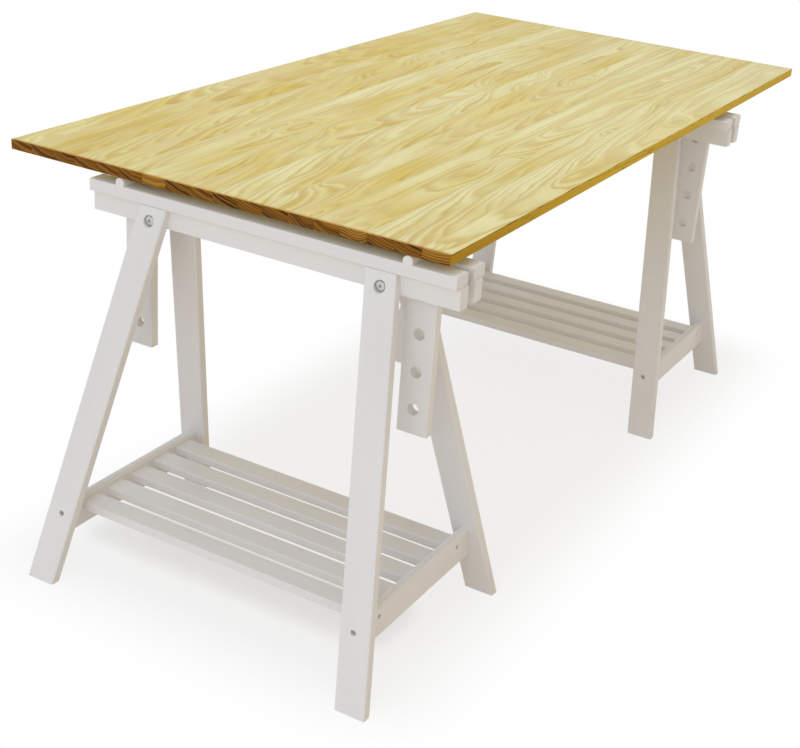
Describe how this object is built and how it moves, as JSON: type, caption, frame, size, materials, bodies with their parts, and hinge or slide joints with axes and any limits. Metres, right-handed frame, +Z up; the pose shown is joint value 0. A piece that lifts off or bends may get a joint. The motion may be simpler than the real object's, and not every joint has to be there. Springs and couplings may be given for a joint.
{
  "type": "trestle table",
  "caption": "Trestle table: a loose edge-glued wooden panel resting on height-adjustable wooden trestles with splayed legs, slatted shelves and posts with peg holes.",
  "frame": {"origin": "on the floor under the centre of the whole table's bounding box", "axes": "+X along the panel's long side, from the left to the right trestle; +Y across the panel, away from the front edge; +Z up"},
  "size_m": [1.8846, 0.878, 0.713],
  "materials": {
    "trestle_wood": "white satin paint on solid wood",
    "tabletop_wood": "oiled edge-glued pine, satin",
    "fastener_steel": "zinc-plated",
    "dowel_wood": "raw"
  },
  "bodies": {
    "left_base": {"left_outer_rail": "trestle_wood", "left_inner_rail": "trestle_wood", "left_rail_spacers": "trestle_wood", "left_leg_bolts": "fastener_steel", "left_sleeve_nuts": "fastener_steel", "left_front_cross_rail": "trestle_wood", "left_rear_cross_rail": "trestle_wood", "left_leg_screws": "fastener_steel", "left_slat_screws": "fastener_steel", "left_slat_dowels": "dowel_wood", "left_outer_front_leg": "trestle_wood", "left_outer_rear_leg": "trestle_wood", "left_inner_front_leg": "trestle_wood", "left_inner_rear_leg": "trestle_wood", "left_shelf_slat_1": "trestle_wood", "left_shelf_slat_2": "trestle_wood", "left_shelf_slat_3": "trestle_wood", "left_shelf_slat_4": "trestle_wood", "left_shelf_slat_5": "trestle_wood"},
    "left_lift": {"left_outer_strip": "trestle_wood", "left_inner_strip": "trestle_wood", "left_front_post": "trestle_wood", "left_rear_post": "trestle_wood", "left_front_rest_bar": "trestle_wood", "left_rear_rest_bar": "trestle_wood", "left_post_dowels": "dowel_wood"},
    "right_base": {"right_outer_rail": "trestle_wood", "right_inner_rail": "trestle_wood", "right_rail_spacers": "trestle_wood", "right_leg_bolts": "fastener_steel", "right_sleeve_nuts": "fastener_steel", "right_front_cross_rail": "trestle_wood", "right_rear_cross_rail": "trestle_wood", "right_leg_screws": "fastener_steel", "right_slat_screws": "fastener_steel", "right_slat_dowels": "dowel_wood", "right_outer_front_leg": "trestle_wood", "right_outer_rear_leg": "trestle_wood", "right_inner_front_leg": "trestle_wood", "right_inner_rear_leg": "trestle_wood", "right_shelf_slat_1": "trestle_wood", "right_shelf_slat_2": "trestle_wood", "right_shelf_slat_3": "trestle_wood", "right_shelf_slat_4": "trestle_wood", "right_shelf_slat_5": "trestle_wood"},
    "right_lift": {"right_outer_strip": "trestle_wood", "right_inner_strip": "trestle_wood", "right_front_post": "trestle_wood", "right_rear_post": "trestle_wood", "right_front_rest_bar": "trestle_wood", "right_rear_rest_bar": "trestle_wood", "right_post_dowels": "dowel_wood"},
    "tabletop": {"tabletop": "tabletop_wood"}
  },
  "joints": [
    {"name": "left_height", "type": "slide", "parent": "left_base", "child": "left_lift", "axis": [0, 0, 1], "range_m": [0, 0.24]},
    {"name": "trestle_spacing", "type": "slide", "parent": "left_base", "child": "right_base", "axis": [1, 0, 0], "range_m": [-0.35, 0.35]},
    {"name": "right_height", "type": "slide", "parent": "right_base", "child": "right_lift", "axis": [0, 0, 1], "range_m": [0, 0.24]},
    {"name": "top_lift_off", "type": "slide", "parent": "left_lift", "child": "tabletop", "axis": [0, 0, 1], "range_m": [0, 0.15]}
  ],
  "couplings": [
    {"joint": "right_height", "follows": "left_height", "ratio": 1}
  ]
}
